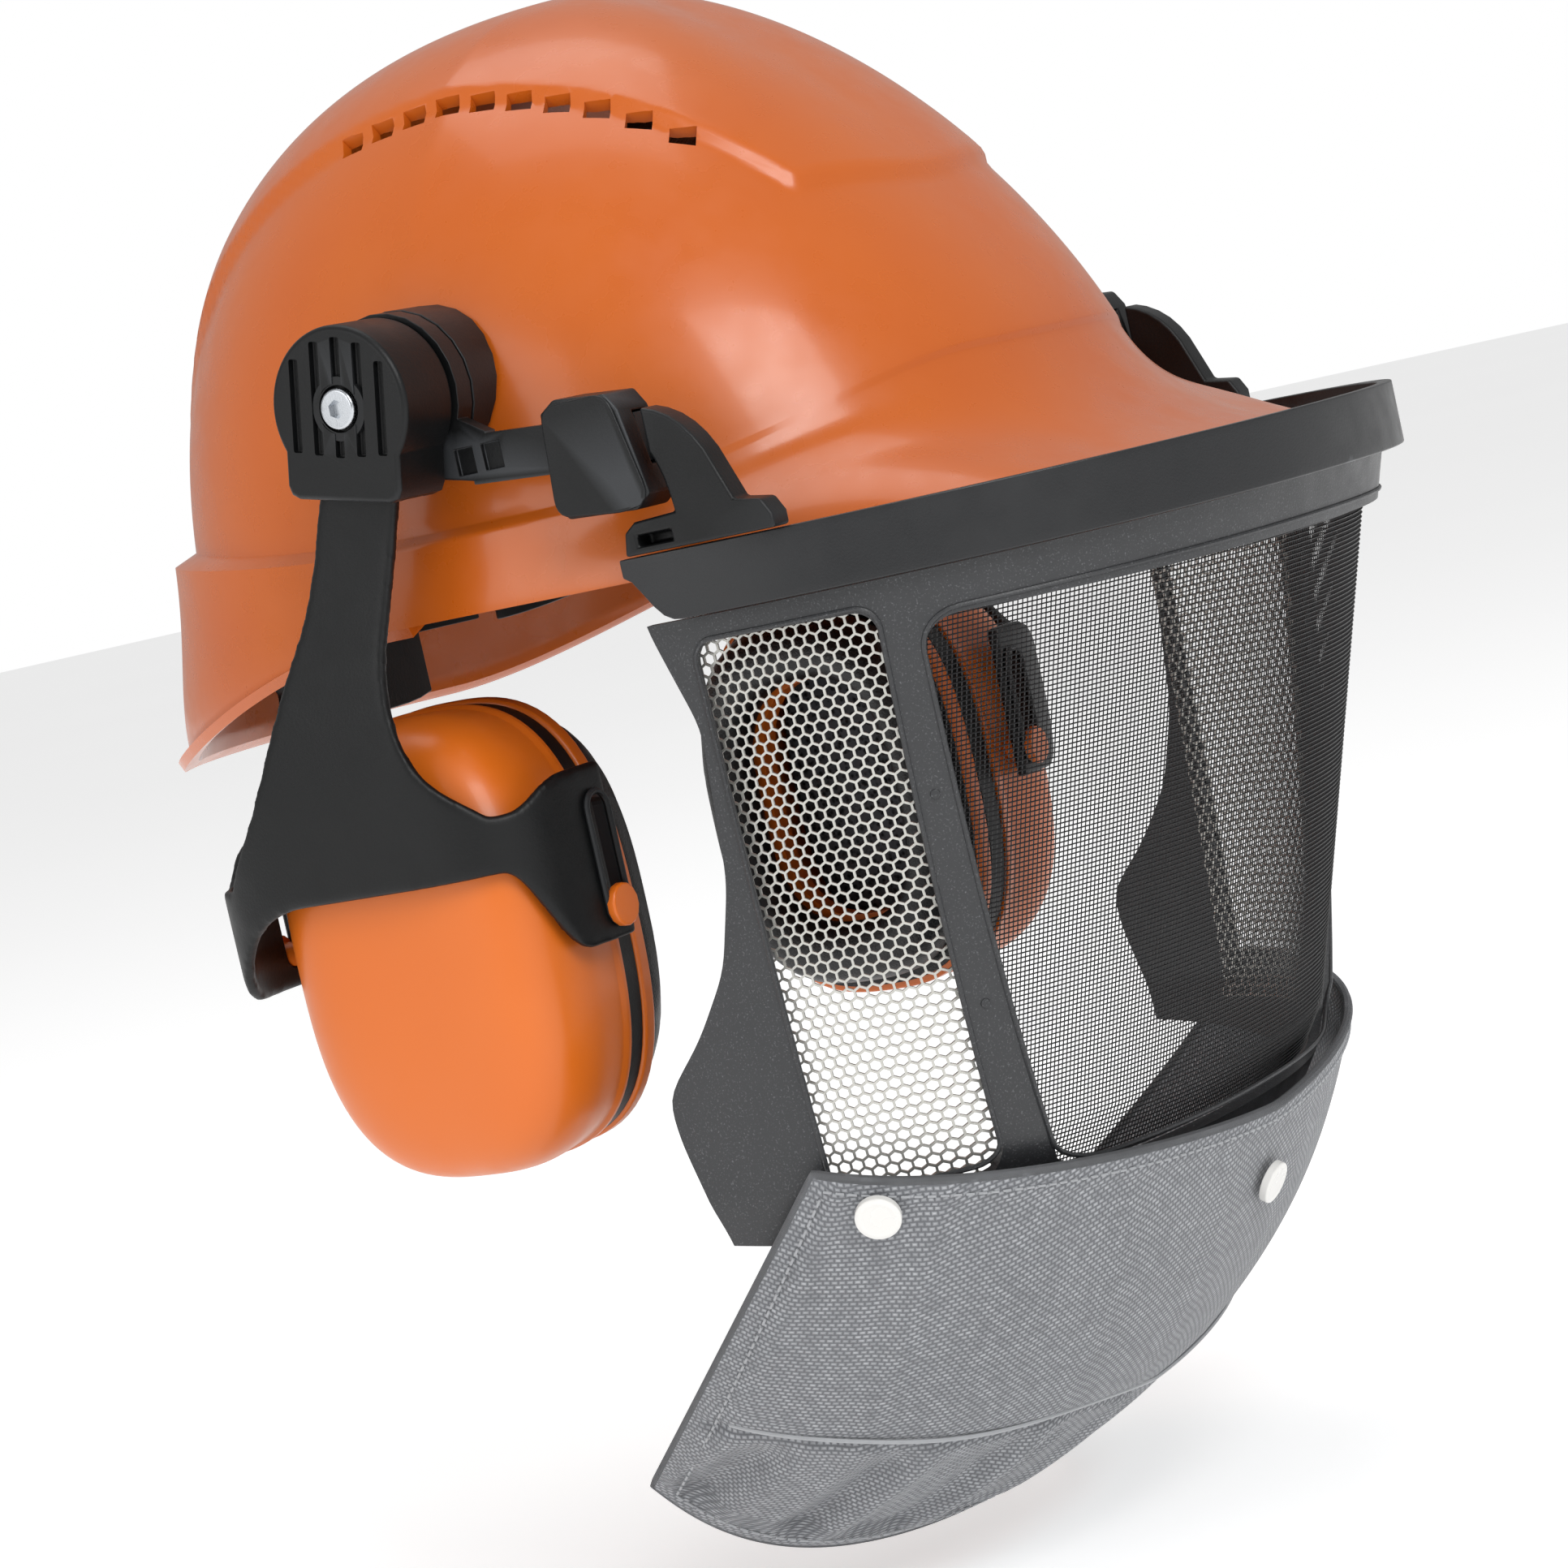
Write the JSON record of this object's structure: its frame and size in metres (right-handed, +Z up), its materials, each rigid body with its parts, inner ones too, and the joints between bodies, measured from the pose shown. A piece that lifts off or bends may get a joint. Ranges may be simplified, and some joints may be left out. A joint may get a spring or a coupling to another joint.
{
  "type": "hard hat",
  "caption": "Vented hard hat with a swing-up mesh visor, canvas neck bib and ear muffs on slotted yokes, over a strap cradle with a ratchet headband.",
  "frame": {"origin": "middle of the wearer's head, level with the shell's lower edge at the ears", "axes": "+Z up, -Y the way the wearer looks, +X the wearer's left"},
  "size_m": [0.2692, 0.3213, 0.3777],
  "materials": {
    "shell_orange": "moulded, glossy",
    "cup_orange": "moulded, satin gloss",
    "black_plastic": "moulded, satin",
    "grained_plastic": "moulded, fine grain",
    "sweat_padding": "perforated imitation leather",
    "webbing": "woven tape",
    "screw_steel": "zinc plated",
    "woven_wire": "black coated wire",
    "perforated_steel": "bright etched sheet",
    "canvas": "coated canvas, diagonal weave",
    "snap_white": "moulded",
    "cushion_skin": "soft vinyl",
    "foam": "open cell foam"
  },
  "bodies": {
    "root": {"shell": "shell_orange", "headband": "black_plastic", "sweatband": "sweat_padding", "cradle_clip_32_left": "black_plastic", "cradle_clip_32_right": "black_plastic", "cradle_clip_90_left": "black_plastic", "cradle_clip_90_right": "black_plastic", "cradle_clip_148_left": "black_plastic", "cradle_clip_148_right": "black_plastic", "crown_strap_front_left": "webbing", "crown_strap_front_right": "webbing", "crown_strap_side": "webbing", "nape_housing": "black_plastic", "hub_socket_left": "black_plastic", "hub_socket_right": "black_plastic", "hub_screw_left": "screw_steel", "hub_screw_right": "screw_steel"},
    "knob": {"ratchet_knob": "black_plastic", "knob_pinion": "black_plastic"},
    "rack_left": {"rack_tail_left": "black_plastic"},
    "rack_right": {"rack_tail_right": "black_plastic"},
    "carrier": {"visor_carrier_left": "black_plastic", "visor_carrier_right": "black_plastic"},
    "visor": {"slider_plate_left": "black_plastic", "slider_plate_right": "black_plastic", "visor_arm_left": "black_plastic", "visor_arm_right": "black_plastic", "brow_bar": "grained_plastic", "visor_frame": "grained_plastic", "front_mesh": "woven_wire", "side_mesh_left": "perforated_steel", "side_mesh_right": "perforated_steel", "bib": "canvas", "bib_snap_left": "snap_white", "bib_snap_right": "snap_white", "bib_snap_front": "snap_white"},
    "hub_cap_left": {"hub_cap_left": "black_plastic", "fold_spring_left": "screw_steel"},
    "yoke_left": {"yoke_left": "black_plastic"},
    "pins_left": {"slot_pin_front_left": "cup_orange", "slot_pin_rear_left": "cup_orange"},
    "cup_left": {"cup_left": "cup_orange", "cup_band_left": "black_plastic", "cup_plate_left": "cup_orange", "ear_cushion_left": "cushion_skin", "cup_foam_left": "foam"},
    "hub_cap_right": {"hub_cap_right": "black_plastic", "fold_spring_right": "screw_steel"},
    "yoke_right": {"yoke_right": "black_plastic"},
    "pins_right": {"slot_pin_front_right": "cup_orange", "slot_pin_rear_right": "cup_orange"},
    "cup_right": {"cup_right": "cup_orange", "cup_band_right": "black_plastic", "cup_plate_right": "cup_orange", "ear_cushion_right": "cushion_skin", "cup_foam_right": "foam"}
  },
  "joints": [
    {"name": "visor_swing", "type": "hinge", "parent": "root", "child": "carrier", "pos_m": [0, -0.0115, 0.051], "axis": [-1, 0, 0], "range_deg": [0, 85]},
    {"name": "visor_reach", "type": "slide", "parent": "carrier", "child": "visor", "axis": [0, -0.9976, -0.0698], "range_m": [-0.003, 0.006]},
    {"name": "knob_turn", "type": "hinge", "parent": "root", "child": "knob", "pos_m": [0, 0.106, -0.011], "axis": [0, 1, 0], "range_deg": [-90, 90]},
    {"name": "rack_slide_left", "type": "slide", "parent": "root", "child": "rack_left", "axis": [1, 0, 0], "range_m": [-0.0064, 0.0064]},
    {"name": "rack_slide_right", "type": "slide", "parent": "root", "child": "rack_right", "axis": [-1, 0, 0], "range_m": [-0.0064, 0.0064]},
    {"name": "muff_swing_left", "type": "hinge", "parent": "root", "child": "hub_cap_left", "pos_m": [0, -0.0115, 0.051], "axis": [1, 0, 0], "range_deg": [-3, 8]},
    {"name": "muff_fold_left", "type": "hinge", "parent": "hub_cap_left", "child": "yoke_left", "pos_m": [0.125, -0.00786, 0.03388], "axis": [0, -0.9781, -0.2079], "range_deg": [0, 30]},
    {"name": "cup_height_left", "type": "slide", "parent": "yoke_left", "child": "pins_left", "axis": [0, 0, 1], "range_m": [0, 0.015]},
    {"name": "cup_tilt_left", "type": "hinge", "parent": "pins_left", "child": "cup_left", "pos_m": [0.1, 0.013, -0.071], "axis": [0, 1, 0], "range_deg": [-4, 4]},
    {"name": "muff_swing_right", "type": "hinge", "parent": "root", "child": "hub_cap_right", "pos_m": [0, -0.0115, 0.051], "axis": [1, 0, 0], "range_deg": [-3, 8]},
    {"name": "muff_fold_right", "type": "hinge", "parent": "hub_cap_right", "child": "yoke_right", "pos_m": [-0.125, -0.00786, 0.03388], "axis": [0, 0.9781, 0.2079], "range_deg": [0, 30]},
    {"name": "cup_height_right", "type": "slide", "parent": "yoke_right", "child": "pins_right", "axis": [0, 0, 1], "range_m": [0, 0.015]},
    {"name": "cup_tilt_right", "type": "hinge", "parent": "pins_right", "child": "cup_right", "pos_m": [-0.1, 0.013, -0.071], "axis": [0, -1, 0], "range_deg": [-4, 4]}
  ],
  "couplings": [
    {"joint": "rack_slide_left", "follows": "knob_turn", "m_per_rad": 0.004},
    {"joint": "rack_slide_right", "follows": "knob_turn", "m_per_rad": 0.004}
  ]
}
